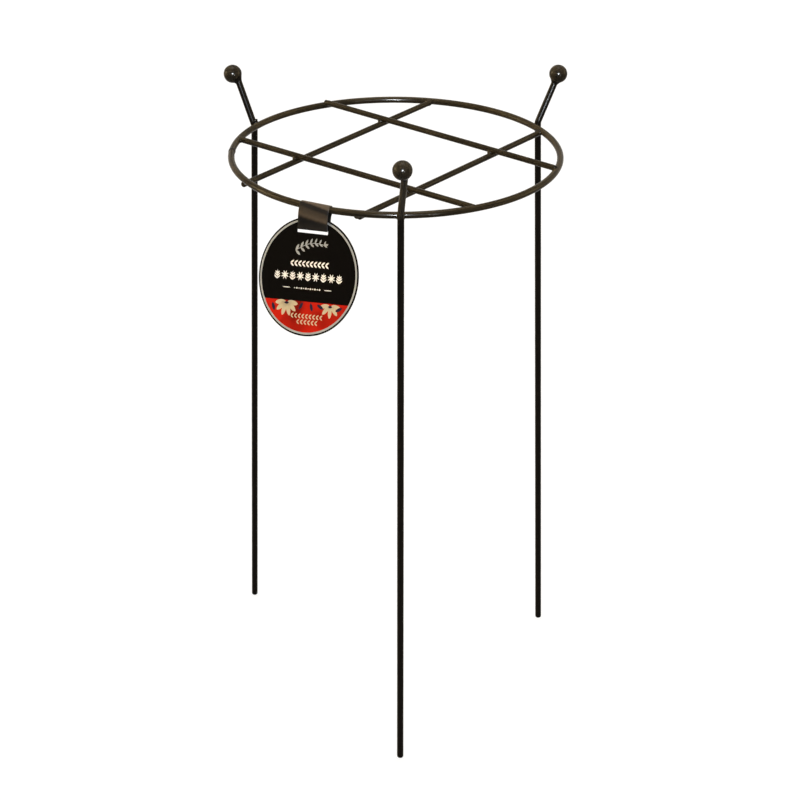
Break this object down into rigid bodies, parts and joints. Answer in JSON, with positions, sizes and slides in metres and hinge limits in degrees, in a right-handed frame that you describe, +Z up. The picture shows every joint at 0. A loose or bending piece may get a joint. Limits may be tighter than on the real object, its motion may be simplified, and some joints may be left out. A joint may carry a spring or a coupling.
{
  "type": "metal plant support",
  "caption": "Grow-through plant support: a welded round-bar ring with a wire grid inside, on straight legs whose bent arms end in balls, with a round swing tag strapped to the ring.",
  "frame": {"origin": "on the ground, under the middle of the whole object's bounding box", "axes": "+Z up along the height, the front leg towards -Y, +X to the right of someone who faces the front leg"},
  "size_m": [0.3698, 0.3976, 0.6776],
  "materials": {
    "bar_coat": "dark bronze-brown semi-gloss coating over round steel bar",
    "weld_coat": "the same coating, glossier and uneven over weld beads",
    "tag_card": "thin satin plastic card, printed black on its front and dark brown on its back"
  },
  "bodies": {
    "support": {"ring": "bar_coat", "ring_seam_weld": "weld_coat", "wire_upper_front": "bar_coat", "end_weld_upper_front_left": "weld_coat", "end_weld_upper_front_right": "weld_coat", "wire_upper_back": "bar_coat", "end_weld_upper_back_left": "weld_coat", "end_weld_upper_back_right": "weld_coat", "wire_lower_left": "bar_coat", "end_weld_lower_left_front": "weld_coat", "end_weld_lower_left_back": "weld_coat", "crossing_weld_front_left": "weld_coat", "crossing_weld_back_left": "weld_coat", "wire_lower_right": "bar_coat", "end_weld_lower_right_front": "weld_coat", "end_weld_lower_right_back": "weld_coat", "crossing_weld_front_right": "weld_coat", "crossing_weld_back_right": "weld_coat", "leg_left": "bar_coat", "ball_left": "bar_coat", "neck_weld_left": "weld_coat", "leg_weld_left": "weld_coat", "leg_right": "bar_coat", "ball_right": "bar_coat", "neck_weld_right": "weld_coat", "leg_weld_right": "weld_coat", "leg_front": "bar_coat", "ball_front": "bar_coat", "neck_weld_front": "weld_coat", "leg_weld_front": "weld_coat"},
    "tag": {"swing_tag": "tag_card"}
  },
  "joints": [
    {"name": "tag_swing", "type": "hinge", "parent": "support", "child": "tag", "pos_m": [-0.07753, -0.12867, 0.61], "axis": [0.8894, -0.4571, 0], "range_deg": [-235, 92]}
  ]
}
